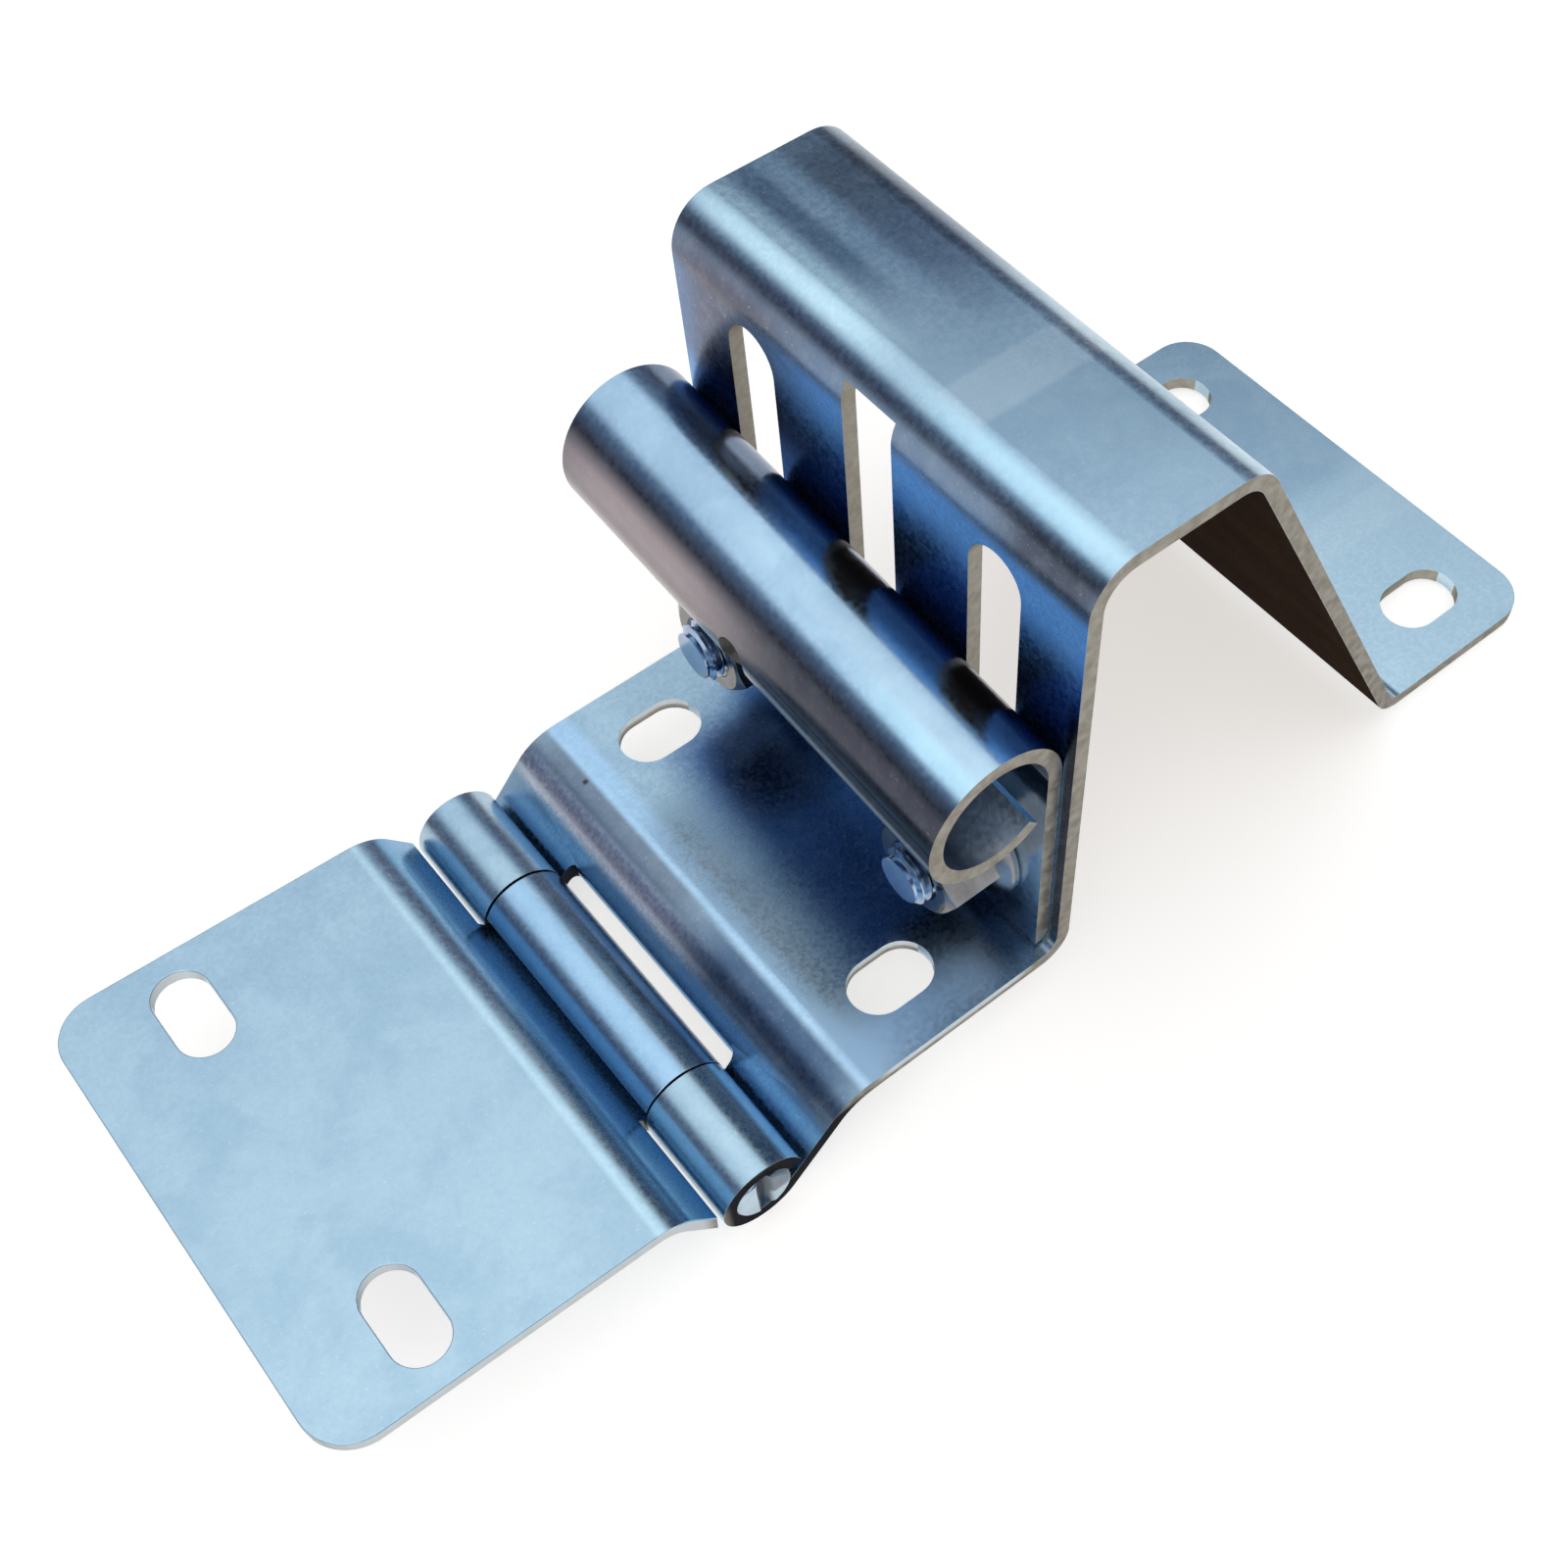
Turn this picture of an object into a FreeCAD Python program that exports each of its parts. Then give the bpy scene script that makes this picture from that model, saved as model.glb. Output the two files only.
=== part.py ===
"""Side hinge with an adjustable roller holder, for a sectional door: two folded steel plates on one
staked pin, and a curled holder bolted to the slotted wall of the upper plate.

Frame: millimetres. X runs from the lower leaf to the foot, Y along the hinge pin, Z up.
Z = 0 is the door face, on which the base and the foot lie. The origin is on that face, in the
middle of the four fixing slots.
"""
import FreeCAD, Part
import os
from math import acos, atan2, cos, degrees, radians, sin, sqrt, tan

# Sheet and width shared by both plates
SHEET = 2.0
WIDTH = 70.0

# Hinge pin, the curls round it and their three-part split
PIN_OFFSET = 76.0
PIN_DEPTH = 5.9
PIN_RADIUS = 4.0
PIN_CLEARANCE = 0.05
PIN_PROUD = 0.5
PIN_CHAMFER = 0.5
PIN_SWAGE = 6.0
STAKE_DEPTH = 1.3
STAKE_WIDTH = 2.6
OUTER_KNUCKLE = 16.7
KNUCKLE_GAP = 0.3
SEAM_GAP = 1.0
SLOPE_ANGLE = 45.0

# Fixing slots in the base and the foot
SLOT_SPACING_X = 95.8
SLOT_EDGE = 10.0
SLOT_LENGTH = 12.0
SLOT_WIDTH = 8.2

# Upper bracket: slope, base, wall, top, sloping leg and foot
SLOPE_BEND = 7.0
WALL_OFFSET = 29.0
WALL_BEND = 2.5
HAT_HEIGHT = 71.0
TOP_BEND = 4.0
TOP_LENGTH = 23.6
LEG_SPREAD = 37.3
FOOT_BEND = 3.0
FOOT_LENGTH = 28.5
FOOT_CORNER = 6.0
KNUCKLE_CUT_BACK = 2.3
KNUCKLE_CUT_CORNER = 1.5

# Adjusting slots and window in the wall
WALL_SLOT_WIDTH = 8.4
WALL_SLOT_EDGE = 14.0
WALL_SLOT_DROP = 7.7
WALL_SLOT_BOTTOM = 8.0
WINDOW_WIDTH = 8.4
WINDOW_RISE = 29.0
WINDOW_BOTTOM = 14.0

# Lower leaf
LEAF_LENGTH = 58.2
LEAF_SLOT_REACH = 42.7
LEAF_SLOT_LENGTH = 13.6
LEAF_SLOT_WIDTH = 7.4
LEAF_SLOPE_ANGLE = 50.0
LEAF_BEND = 5.0
LEAF_CORNER = 6.5
LEAF_SLIT = 0.8
LEAF_RAISED = 3.2

# Roller holder: a plate with one edge curled into the bore for the roller stem
BORE_RADIUS = 7.5
BORE_HEIGHT = 40.6
BORE_CURL = 312.0
HOLDER_LENGTH = 68.6
HOLDER_SHIFT = 1.0
HOLDER_BOTTOM = 5.0
HOLDER_EDGE_RADIUS = 1.6
HOLDER_TILT = 3.8
CLAMP_GAP = 0.05
DRAIN_WIDTH = 4.4
DRAIN_HEIGHT = 8.0
DRAIN_DROP = 2.4
DRAIN_SHIFT = 3.8

# Flat-headed square-neck bolts and flange nuts that clamp the holder
BOLT_HEIGHT = 16.3
BOLT_RADIUS = 4.0
BOLT_LENGTH = 16.0
BOLT_CHAMFER = 0.8
BOLT_HOLE_CLEARANCE = 0.4
HEAD_RADIUS = 10.0
HEAD_HEIGHT = 4.4
HEAD_RIM = 1.0
HEAD_FLAT_RADIUS = 4.5
NECK_SIDE = 8.0
NECK_LENGTH = 1.8
NUT_ACROSS_FLATS = 13.0
NUT_HEIGHT = 9.6
NUT_CHAMFER = 0.7
FLANGE_RADIUS = 8.95
FLANGE_RIM = 1.2
FLANGE_RISE = 1.4
FAR_NUT_TURN = 17.0

# Worked-out sizes
HALF = WIDTH / 2
MIDDLE_KNUCKLE = WIDTH - 2 * OUTER_KNUCKLE
SLOT_SPACING_Y = WIDTH - 2 * SLOT_EDGE
PIN_X = -PIN_OFFSET
PIN_Z = -PIN_DEPTH
CURL_INSIDE = PIN_RADIUS + PIN_CLEARANCE
CURL_OUTSIDE = CURL_INSIDE + SHEET
WALL_X = -WALL_OFFSET
WALL_BACK_X = WALL_X + SHEET
TOP_END_X = WALL_X + TOP_LENGTH
LEG_FOOT_X = TOP_END_X + LEG_SPREAD
FOOT_END_X = LEG_FOOT_X + FOOT_LENGTH
TUBE_RADIUS = BORE_RADIUS + SHEET
HOLDER_BACK_X = WALL_X - CLAMP_GAP
HOLDER_FRONT_X = HOLDER_BACK_X - SHEET
BORE_X = HOLDER_FRONT_X - BORE_RADIUS
BOLT_Y = HALF - WALL_SLOT_EDGE
BOLT_RISE = BOLT_Y * tan(radians(HOLDER_TILT))
X_AXIS = FreeCAD.Vector(1, 0, 0)
Y_AXIS = FreeCAD.Vector(0, 1, 0)
Z_AXIS = FreeCAD.Vector(0, 0, 1)


def point(x, z, y=0.0):
    return FreeCAD.Vector(x, y, z)


def heading(angle):
    """Unit vector at this angle in the X-Z plane, measured from +X towards +Z."""
    return point(cos(radians(angle)), sin(radians(angle)))


def right_of(angle):
    """Unit vector to the right-hand side of a run with this heading."""
    return heading(angle - 90)


def line(a, b):
    return Part.LineSegment(a, b).toShape()


def arc_about(centre, radius, first, last):
    middle = (first + last) / 2
    ends = [centre + heading(angle) * radius for angle in (first, middle, last)]
    return Part.Arc(*ends).toShape()


def sheet_runs(corners):
    """The straight runs between the corners, each as its start and its heading."""
    runs = []
    for a, b in zip(corners, corners[1:]):
        runs.append((a, degrees(atan2(b.z - a.z, b.x - a.x))))
    return runs


def meeting_point(before, after, offset):
    """Where two runs meet when both are moved to their right by offset."""
    a = before[0] + right_of(before[1]) * offset
    b = after[0] + right_of(after[1]) * offset
    one, two = heading(before[1]), heading(after[1])
    cross = one.x * two.z - one.z * two.x
    return a + one * (((b.x - a.x) * two.z - (b.z - a.z) * two.x) / cross)


def face_edges(runs, inside_radii, offset, start, end):
    """Edges of one face of a bent sheet, rounded at each bend. The left-hand face has offset 0 and
    the right-hand face the sheet's thickness, and the face on the outside of a bend has the larger
    radius."""
    edges = []
    here = start
    for before, after, inside in zip(runs, runs[1:], inside_radii):
        turn = after[1] - before[1]
        side = -1 if turn > 0 else 1
        is_inner = (side < 0) == (offset == 0)
        radius = inside if is_inner else inside + SHEET
        back = radius * tan(radians(abs(turn) / 2))
        corner = meeting_point(before, after, offset)
        a = corner - heading(before[1]) * back
        b = corner + heading(after[1]) * back
        centre = a + right_of(before[1]) * (side * radius)
        bulge = centre - right_of(before[1] + turn / 2) * (side * radius)
        edges.append(line(here, a))
        edges.append(Part.Arc(a, bulge, b).toShape())
        here = b
    edges.append(line(here, end))
    return edges


def extrude_profile(edges, low_y, high_y):
    """Closes the edges, which lie at y = 0, and carries their face from low_y to high_y."""
    face = Part.Face(Part.Wire(Part.__sortEdges__(edges)))
    face.translate(Y_AXIS * low_y)
    return face.extrude(Y_AXIS * (high_y - low_y))


def hinge_plate(centre, slope, inside_radii, later_corners):
    """A plate that starts as a curl round centre, passes under it and climbs at the slope angle to
    the first bend, at the height of the later corners' first run."""
    tangent = slope - 90
    lip = tangent - 360 + degrees(acos((CURL_INSIDE - SEAM_GAP) / CURL_OUTSIDE))
    start = centre + heading(tangent) * CURL_INSIDE
    rise = (later_corners[0].z - start.z) / sin(radians(slope))
    corners = [start, start + heading(slope) * rise] + later_corners
    runs = sheet_runs(corners)
    end = corners[-1]
    under_end = end + right_of(runs[-1][1]) * SHEET
    edges = face_edges(runs, inside_radii, 0, start, end)
    edges += face_edges(runs, inside_radii, SHEET, centre + heading(tangent) * CURL_OUTSIDE, under_end)
    edges.append(line(end, under_end))
    edges.append(arc_about(centre, CURL_INSIDE, lip, tangent))
    edges.append(arc_about(centre, CURL_OUTSIDE, lip, tangent))
    edges.append(line(centre + heading(lip) * CURL_INSIDE, centre + heading(lip) * CURL_OUTSIDE))
    return extrude_profile(edges, -HALF, HALF)


def box(x0, x1, y0, y1, z0, z1):
    return Part.makeBox(x1 - x0, y1 - y0, z1 - z0, FreeCAD.Vector(x0, y0, z0))


def slot_cutter(centre, length, width, along, through, depth):
    """A round-ended slot running along, cut depth to each side of its centre."""
    across = through.cross(along)
    radius = width / 2
    base = centre - through * depth
    reach = along * (length / 2 - radius)
    tip = along * (length / 2)
    side = across * radius
    edges = [
        line(base - reach + side, base + reach + side),
        Part.Arc(base + reach + side, base + tip, base + reach - side).toShape(),
        line(base + reach - side, base - reach - side),
        Part.Arc(base - reach - side, base - tip, base - reach + side).toShape(),
    ]
    return Part.Face(Part.Wire(edges)).extrude(through * (2 * depth))


def upright_edges(shape, x):
    """Edges of the shape that stand along Z at this x."""
    picked = []
    for edge in shape.Edges:
        limits = edge.BoundBox
        is_upright = limits.XLength < 0.001 and limits.YLength < 0.001
        if is_upright and abs(limits.XMin - x) < 0.001:
            picked.append(edge)
    return picked


def fixing_slots(plate, x, spacing, length, width, along):
    for side in (-1, 1):
        place = point(x, 0, side * spacing / 2)
        plate = plate.cut(slot_cutter(place, length, width, along, Z_AXIS, HAT_HEIGHT / 2))
    return plate


def lower_leaf():
    """Flat plate that dips beside the pin and curls round it in the middle knuckle. It is made on
    the +X side, then mirrored and turned to the angle at which it rests."""
    centre = point(PIN_OFFSET, PIN_Z)
    corners = [point(PIN_OFFSET + LEAF_LENGTH, SHEET)]
    leaf = hinge_plate(centre, LEAF_SLOPE_ANGLE, [LEAF_BEND], corners)
    slit_x = PIN_OFFSET + CURL_OUTSIDE + LEAF_SLIT
    low_x = PIN_OFFSET - 2 * CURL_OUTSIDE
    low_z = PIN_Z - 2 * CURL_OUTSIDE
    inner = MIDDLE_KNUCKLE / 2
    leaf = leaf.cut(box(low_x, slit_x, inner, HALF + SHEET, low_z, 2 * SHEET))
    leaf = leaf.cut(box(low_x, slit_x, -HALF - SHEET, -inner, low_z, 2 * SHEET))
    leaf = leaf.makeFillet(LEAF_CORNER, upright_edges(leaf, PIN_OFFSET + LEAF_LENGTH))
    slot_x = PIN_OFFSET + LEAF_SLOT_REACH
    leaf = fixing_slots(leaf, slot_x, SLOT_SPACING_Y, LEAF_SLOT_LENGTH, LEAF_SLOT_WIDTH, Y_AXIS)
    leaf = leaf.mirror(FreeCAD.Vector(0, 0, 0), X_AXIS)
    leaf.rotate(point(PIN_X, PIN_Z), Y_AXIS, LEAF_RAISED)
    return leaf


def middle_knuckle_cutter():
    """Opens the slope for the leaf's knuckle, with its two outer corners rounded."""
    side = MIDDLE_KNUCKLE / 2 + KNUCKLE_GAP
    edge_x = PIN_X + CURL_OUTSIDE + KNUCKLE_CUT_BACK
    cutter = box(PIN_X - 2 * CURL_OUTSIDE, edge_x, -side, side, PIN_Z - 2 * CURL_OUTSIDE, 2 * SHEET)
    return cutter.makeFillet(KNUCKLE_CUT_CORNER, upright_edges(cutter, edge_x))


def window_cutter():
    """Square-cornered window whose top edge lies square to the sheet, part-way round the top bend."""
    centre = point(WALL_BACK_X + TOP_BEND, HAT_HEIGHT - SHEET - TOP_BEND)
    reach = (TOP_BEND + 2 * SHEET) / cos(radians(WINDOW_RISE))
    top = centre + heading(180 - WINDOW_RISE) * reach
    corners = [point(top.x, WINDOW_BOTTOM), point(centre.x, WINDOW_BOTTOM), centre, top]
    edges = [line(a, b) for a, b in zip(corners, corners[1:] + corners[:1])]
    return extrude_profile(edges, -WINDOW_WIDTH / 2, WINDOW_WIDTH / 2)


def bracket():
    """The hat-shaped plate: outer knuckles, slope, base, slotted wall, top, leg and foot."""
    later = [
        point(WALL_X, SHEET),
        point(WALL_X, HAT_HEIGHT),
        point(TOP_END_X, HAT_HEIGHT),
        point(LEG_FOOT_X, SHEET),
        point(FOOT_END_X, SHEET),
    ]
    radii = [SLOPE_BEND, WALL_BEND, TOP_BEND, TOP_BEND, FOOT_BEND]
    plate = hinge_plate(point(PIN_X, PIN_Z), SLOPE_ANGLE, radii, later)
    plate = plate.cut(middle_knuckle_cutter())
    plate = plate.makeFillet(FOOT_CORNER, upright_edges(plate, FOOT_END_X))
    for side in (-1, 1):
        for x in (-SLOT_SPACING_X / 2, SLOT_SPACING_X / 2):
            place = point(x, 0, side * SLOT_SPACING_Y / 2)
            plate = plate.cut(slot_cutter(place, SLOT_LENGTH, SLOT_WIDTH, X_AXIS, Z_AXIS, 2 * SHEET))
    slot_top = HAT_HEIGHT - WALL_SLOT_DROP
    slot_middle = (slot_top + WALL_SLOT_BOTTOM) / 2
    slot_length = slot_top - WALL_SLOT_BOTTOM
    for side in (-1, 1):
        place = point(WALL_X + SHEET / 2, slot_middle, side * BOLT_Y)
        plate = plate.cut(slot_cutter(place, slot_length, WALL_SLOT_WIDTH, Z_AXIS, X_AXIS, SHEET))
    return plate.cut(window_cutter())


def hinge_pin():
    """Plain pin, swaged to the full bore in the outer knuckles and staked across both ends."""
    end_y = HALF + PIN_PROUD
    start = point(PIN_X, PIN_Z, -end_y)
    pin = Part.makeCylinder(PIN_RADIUS, 2 * end_y, start, Y_AXIS)
    swage_length = PIN_SWAGE + PIN_PROUD
    for y in (-end_y, end_y - swage_length):
        pin = pin.fuse(Part.makeCylinder(CURL_INSIDE, swage_length, point(PIN_X, PIN_Z, y), Y_AXIS))
    pin = pin.removeSplitter()
    rims = []
    for edge in pin.Edges:
        if edge.BoundBox.YLength < 0.001 and abs(abs(edge.BoundBox.YMin) - end_y) < 0.001:
            rims.append(edge)
    pin = pin.makeChamfer(PIN_CHAMFER, rims)
    for side in (-1, 1):
        outer_y = side * end_y
        depth_y = outer_y - side * STAKE_DEPTH
        corners = [
            FreeCAD.Vector(PIN_X - STAKE_WIDTH / 2, outer_y, PIN_Z - 2 * PIN_RADIUS),
            FreeCAD.Vector(PIN_X + STAKE_WIDTH / 2, outer_y, PIN_Z - 2 * PIN_RADIUS),
            FreeCAD.Vector(PIN_X, depth_y, PIN_Z - 2 * PIN_RADIUS),
        ]
        wire = Part.makePolygon(corners + corners[:1])
        pin = pin.cut(Part.Face(wire).extrude(Z_AXIS * (4 * PIN_RADIUS)))
    return pin


def roller_holder():
    """Plate clamped to the wall, its upper edge curled forward into the bore. It sits tilted in the
    plane of the wall, as its two bolts hold it, and its ends run parallel with the wall's edges."""
    centre = point(BORE_X, BORE_HEIGHT)
    foot_back = point(HOLDER_BACK_X, HOLDER_BOTTOM)
    foot_front = point(HOLDER_FRONT_X, HOLDER_BOTTOM)
    edges = [
        line(foot_front, point(HOLDER_FRONT_X, BORE_HEIGHT)),
        arc_about(centre, BORE_RADIUS, 0, BORE_CURL),
        line(centre + heading(BORE_CURL) * BORE_RADIUS, centre + heading(BORE_CURL) * TUBE_RADIUS),
        arc_about(centre, TUBE_RADIUS, 0, BORE_CURL),
        line(point(HOLDER_BACK_X, BORE_HEIGHT), foot_back + Z_AXIS * HOLDER_EDGE_RADIUS),
        arc_about(foot_back + FreeCAD.Vector(-1, 0, 1) * HOLDER_EDGE_RADIUS, HOLDER_EDGE_RADIUS, -90, 0),
        line(foot_back - X_AXIS * HOLDER_EDGE_RADIUS, foot_front),
    ]
    holder = extrude_profile(edges, -HOLDER_LENGTH, HOLDER_LENGTH)
    for side in (-1, 1):
        place = point(HOLDER_FRONT_X - SHEET, BOLT_HEIGHT, side * BOLT_Y)
        holder = holder.cut(Part.makeCylinder(BOLT_RADIUS + BOLT_HOLE_CLEARANCE, 4 * SHEET, place, X_AXIS))
    place = point(BORE_X - TUBE_RADIUS, BORE_HEIGHT - DRAIN_DROP, DRAIN_SHIFT)
    holder = holder.cut(slot_cutter(place, DRAIN_HEIGHT, DRAIN_WIDTH, Z_AXIS, X_AXIS, 2 * SHEET))
    holder.rotate(point(0, BOLT_HEIGHT), X_AXIS, HOLDER_TILT)
    low_y = HOLDER_SHIFT - HOLDER_LENGTH / 2
    ends = box(BORE_X - WIDTH, WALL_X, low_y, low_y + HOLDER_LENGTH, 0, 2 * HAT_HEIGHT)
    return holder.common(ends)


def bolt_head(place):
    """Low head behind the wall, with a sloping flank and a flat top. place is on the bolt's axis."""
    rim = place + Z_AXIS * HEAD_RADIUS
    edge = rim + X_AXIS * HEAD_RIM
    top = place + X_AXIS * HEAD_HEIGHT
    shoulder = top + Z_AXIS * HEAD_FLAT_RADIUS
    edges = [line(place, rim), line(rim, edge), line(edge, shoulder), line(shoulder, top), line(top, place)]
    return Part.Face(Part.Wire(edges)).revolve(place, X_AXIS, 360)


def bolt(y, z):
    seat_x = WALL_BACK_X + CLAMP_GAP
    seat = point(seat_x, z, y)
    body = bolt_head(seat)
    half = NECK_SIDE / 2
    neck = box(seat_x - NECK_LENGTH, seat_x, y - half, y + half, z - half, z + half)
    body = body.fuse(neck)
    plain = BOLT_LENGTH - BOLT_CHAMFER
    body = body.fuse(Part.makeCylinder(BOLT_RADIUS, plain, seat, -X_AXIS))
    end_radius = BOLT_RADIUS - BOLT_CHAMFER
    tip = Part.makeCone(BOLT_RADIUS, end_radius, BOLT_CHAMFER, seat - X_AXIS * plain, -X_AXIS)
    return body.fuse(tip).removeSplitter()


def nut(y, z, turned):
    """Hexagon nut with a flange. With no turn, two of its flats stand upright."""
    seat = point(HOLDER_FRONT_X, z, y)
    corner_radius = NUT_ACROSS_FLATS / sqrt(3)
    corners = []
    for step in range(7):
        turn = radians(90 + turned + 60 * step)
        corners.append(seat + Y_AXIS * (corner_radius * cos(turn)) + Z_AXIS * (corner_radius * sin(turn)))
    hexagon = Part.Face(Part.makePolygon(corners)).extrude(-X_AXIS * NUT_HEIGHT)
    straight = NUT_HEIGHT - NUT_CHAMFER
    envelope = Part.makeCylinder(corner_radius, straight, seat, -X_AXIS)
    end_radius = corner_radius - NUT_CHAMFER * sqrt(3)
    envelope = envelope.fuse(
        Part.makeCone(corner_radius, end_radius, NUT_CHAMFER, seat - X_AXIS * straight, -X_AXIS)
    )
    body = hexagon.common(envelope)
    body = body.fuse(Part.makeCylinder(FLANGE_RADIUS, FLANGE_RIM, seat, -X_AXIS))
    body = body.fuse(
        Part.makeCone(FLANGE_RADIUS, NUT_ACROSS_FLATS / 2, FLANGE_RISE, seat - X_AXIS * FLANGE_RIM, -X_AXIS)
    )
    body = body.removeSplitter()
    return body.cut(Part.makeCylinder(BOLT_RADIUS, NUT_HEIGHT, seat, -X_AXIS))


def all_nodes():
    low_z = BOLT_HEIGHT - BOLT_RISE
    high_z = BOLT_HEIGHT + BOLT_RISE
    return {
        "lower_leaf": lower_leaf(),
        "bracket": bracket(),
        "hinge_pin": hinge_pin(),
        "roller_holder": roller_holder(),
        "bolt_near": bolt(-BOLT_Y, low_z),
        "bolt_far": bolt(BOLT_Y, high_z),
        "nut_near": nut(-BOLT_Y, low_z, 0),
        "nut_far": nut(BOLT_Y, high_z, FAR_NUT_TURN),
    }


os.makedirs("parts", exist_ok=True)
for name, shape in all_nodes().items():
    shape.exportStep(f"parts/{name}.step")
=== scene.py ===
"""Side hinge with an adjustable roller holder: the finish of its folded plates, its threaded bolts,
flange nuts and staked pin, and the studio that it is seen in. Lengths are in millimetres, turned
into Blender's metres by MM, except those of the studio."""
import bpy
from math import pi, radians, sin, sqrt, tan
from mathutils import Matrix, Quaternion, Vector


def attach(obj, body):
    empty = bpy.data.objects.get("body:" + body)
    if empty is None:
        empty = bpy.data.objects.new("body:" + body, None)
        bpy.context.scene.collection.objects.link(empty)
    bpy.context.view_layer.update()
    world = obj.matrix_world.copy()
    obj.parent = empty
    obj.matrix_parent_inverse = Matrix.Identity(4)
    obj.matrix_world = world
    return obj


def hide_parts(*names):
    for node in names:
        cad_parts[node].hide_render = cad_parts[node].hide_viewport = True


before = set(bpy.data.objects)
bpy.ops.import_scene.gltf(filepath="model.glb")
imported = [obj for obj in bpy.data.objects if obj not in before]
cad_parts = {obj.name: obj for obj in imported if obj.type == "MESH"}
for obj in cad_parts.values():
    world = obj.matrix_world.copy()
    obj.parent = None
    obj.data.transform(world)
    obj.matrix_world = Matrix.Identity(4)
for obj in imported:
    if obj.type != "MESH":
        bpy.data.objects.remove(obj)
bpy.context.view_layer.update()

MM = 0.001

# Sheet-metal pieces: how near two corners of the CAD's mesh are one, how near to a plane its facets
# are one face, in degrees, and the round on sheared edges
MERGE_DISTANCE = 0.002
FLAT_WITHIN = 0.6
SHEET_EDGE_ROUND = 0.18

# Which faces are sheared rims and which lie under the bracket's leg: by the share of their normal
# along Y or Z, and by where they start
SIDEWAYS = 0.3
DOWNWARD = -0.3
LEG_START_X = -26.0
FOOT_UNDERSIDE_Z = 0.5

# Holder: axis of its bore, a radius between the bore and the tube's outside, and its tilt
BORE_X = -38.55
BORE_Z = 40.65
BORE_LIMIT = 8.2
HOLDER_LEAN = tan(radians(3.8))

# Bolts and nuts: Y and Z of each one's axis, and the planes that they are clamped against
BOLT_PLACES = {"near": (-21.0, 14.905), "far": (21.0, 17.695)}
HEAD_SEAT_X = -26.95
NUT_SEAT_X = -31.05

# Bolt. The rings of a turned solid are pairs of a distance along its axis and a radius.
BOLT_LENGTH = 16.0
BOLT_RADIUS = 4.0
BOLT_TIP_RADIUS = 3.25
HEAD_RINGS = (
    (0.0, 9.8), (0.2, 10.0), (0.8, 10.0), (1.1, 9.8), (1.8, 8.5),
    (2.6, 6.9), (3.3, 5.6), (3.9, 4.4), (4.25, 3.2), (4.4, 1.6),
)
NECK_SIDE = 8.0
NECK_LENGTH = 1.8
NECK_OVERLAP = 0.2

# Thread: its profile is a share of the pitch and a share of the thread's height for each step
THREAD_PITCH = 1.25
THREAD_ROOT = 3.28
THREAD_PROFILE = ((0.12, 0), (0.30, 1), (0.16, 0), (0.30, -1), (0.12, 0))
THREAD_STEPS = 40
THREAD_LEAD_TURNS = 2
THREAD_SPARE_TURNS = 3
THREAD_SUNK = 0.3

# Nut
NUT_ACROSS_FLATS = 13.0
NUT_HEIGHT = 9.6
NUT_TURNS = {"near": 0.0, "far": 17.0}
NUT_SIDES = 96
NUT_ENVELOPE = ((0.0, 7.6), (8.85, 7.6), (9.6, 6.15))
NUT_BORE = ((-0.2, 3.55), (8.9, 3.55), (9.7, 4.45))
FLANGE_RINGS = (
    (0.0, 8.7), (0.25, 8.95), (0.95, 8.95), (1.3, 8.75), (2.0, 7.6), (2.6, 6.3), (3.0, 5.0),
)

# Hinge pin: its axis, its ends and the right-angled groove struck across them
PIN_X = -76.0
PIN_Z = -5.9
PIN_END = 35.5
PIN_RINGS = ((0.0, 3.45), (0.18, 3.8), (0.5, 4.05), (6.5, 4.05), (6.7, 4.0), (35.5, 4.0))
STAKE_WIDTH = 2.5
CHISEL_LENGTH = 12.0

# Camera, in metres and degrees
EYE = Vector((-0.11536, -0.11736, 0.20797))
AIM = Vector((-0.04140, -0.02087, 0.0))
ROLL = 1.92
LENS = 43.1
SHIFT_X = -0.0802
SHIFT_Y = 0.0963

# Sky colours by the height of the direction, from the horizon at 0 to straight up at 1
SKY_BANDS = (
    (0.00, (1.02, 1.02, 1.03)),
    (0.18, (0.98, 0.98, 1.00)),
    (0.26, (0.07, 0.065, 0.09)),
    (0.36, (0.13, 0.12, 0.17)),
    (0.60, (0.10, 0.15, 0.24)),
    (0.66, (0.22, 0.29, 0.38)),
    (0.73, (0.98, 1.10, 1.20)),
    (0.86, (0.98, 1.09, 1.15)),
    (0.93, (1.25, 1.34, 1.37)),
    (1.00, (1.35, 1.42, 1.45)),
)

# Floor, in metres: its side, its colours, and the X and Z of the knuckles' lowest line and of the
# foot's outer edge, which both stand on it
FLOOR_SIDE = 20.0
FLOOR_COLOUR = (0.66, 0.645, 0.63, 1.0)
FLOOR_LIFT_COLOUR = (1.0, 0.94, 0.88, 1.0)
FLOOR_LIFT = 0.62
KNUCKLE_LOW = (-0.0760, -0.01195)
FOOT_LOW = (0.0604, 0.0)

# Zinc colours
PALE = (0.43, 0.57, 0.67)
DEEP = (0.37, 0.51, 0.62)
VEIL = (0.80, 0.90, 0.96)
FLECK = (0.88, 0.94, 0.97)

# Stretches that many of the painted shades and highlights share. Each is a low side, a high side
# and a fade.
WHOLE_WIDTH = (-36, 36, 1)
KNUCKLE_WIDTH = (-22, 22, 1)
TUBE_WIDTH = (-36, 37, 1)
PAST_BOTH_SIDES = (-40, 40, 1)
PALE_STRIPE = (-12.5, -6, 0.5)
BASE_FACE = (0.8, 4, 0.4)
FOOT_FACE = (0.8, 3, 0.4)
TOP_FACE = (69, 72, 1)
SLOPE_UPPER = (-4, 2.5, 0.6)
SLOPE_LOWER = (-12, 0, 0.6)
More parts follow.
